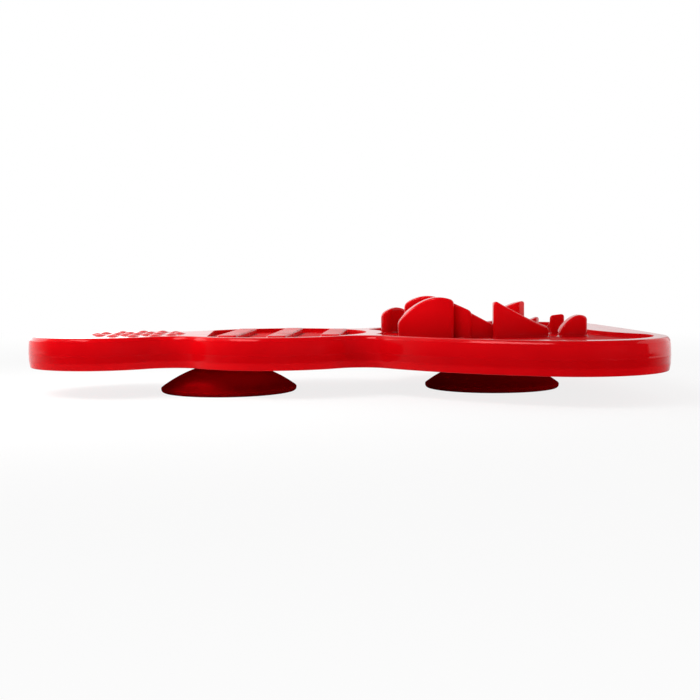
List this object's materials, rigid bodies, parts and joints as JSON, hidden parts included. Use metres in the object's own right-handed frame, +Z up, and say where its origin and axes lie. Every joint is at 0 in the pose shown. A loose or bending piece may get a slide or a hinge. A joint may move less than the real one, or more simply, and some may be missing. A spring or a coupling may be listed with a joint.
{
  "type": "treat dispensing lick toy",
  "caption": "Three-lobed rubber lick mat with a rosette of ramped fins, slanted bars and nubs, held to the floor by plug-in suction cups.",
  "frame": {"origin": "on the floor under the middle of the mat's length and width", "axes": "+X along the mat from its neck lobe to its base lobe, +Z up"},
  "size_m": [0.21, 0.14, 0.0323],
  "materials": {
    "mat_rubber": "glossy moulded rubber",
    "cup_rubber": "smooth moulded rubber"
  },
  "bodies": {
    "mat": {"lick_mat": "mat_rubber"},
    "neck_cup": {"neck_suction_cup": "cup_rubber"},
    "base_cup": {"base_suction_cup": "cup_rubber"}
  },
  "joints": [
    {"name": "neck_cup_turn", "type": "hinge", "parent": "mat", "child": "neck_cup", "pos_m": [-0.03696, 0, 0.0094], "axis": [0, 0, 1], "continuous": true},
    {"name": "base_cup_turn", "type": "hinge", "parent": "mat", "child": "base_cup", "pos_m": [0.05544, 0, 0.0094], "axis": [0, 0, 1], "continuous": true}
  ]
}
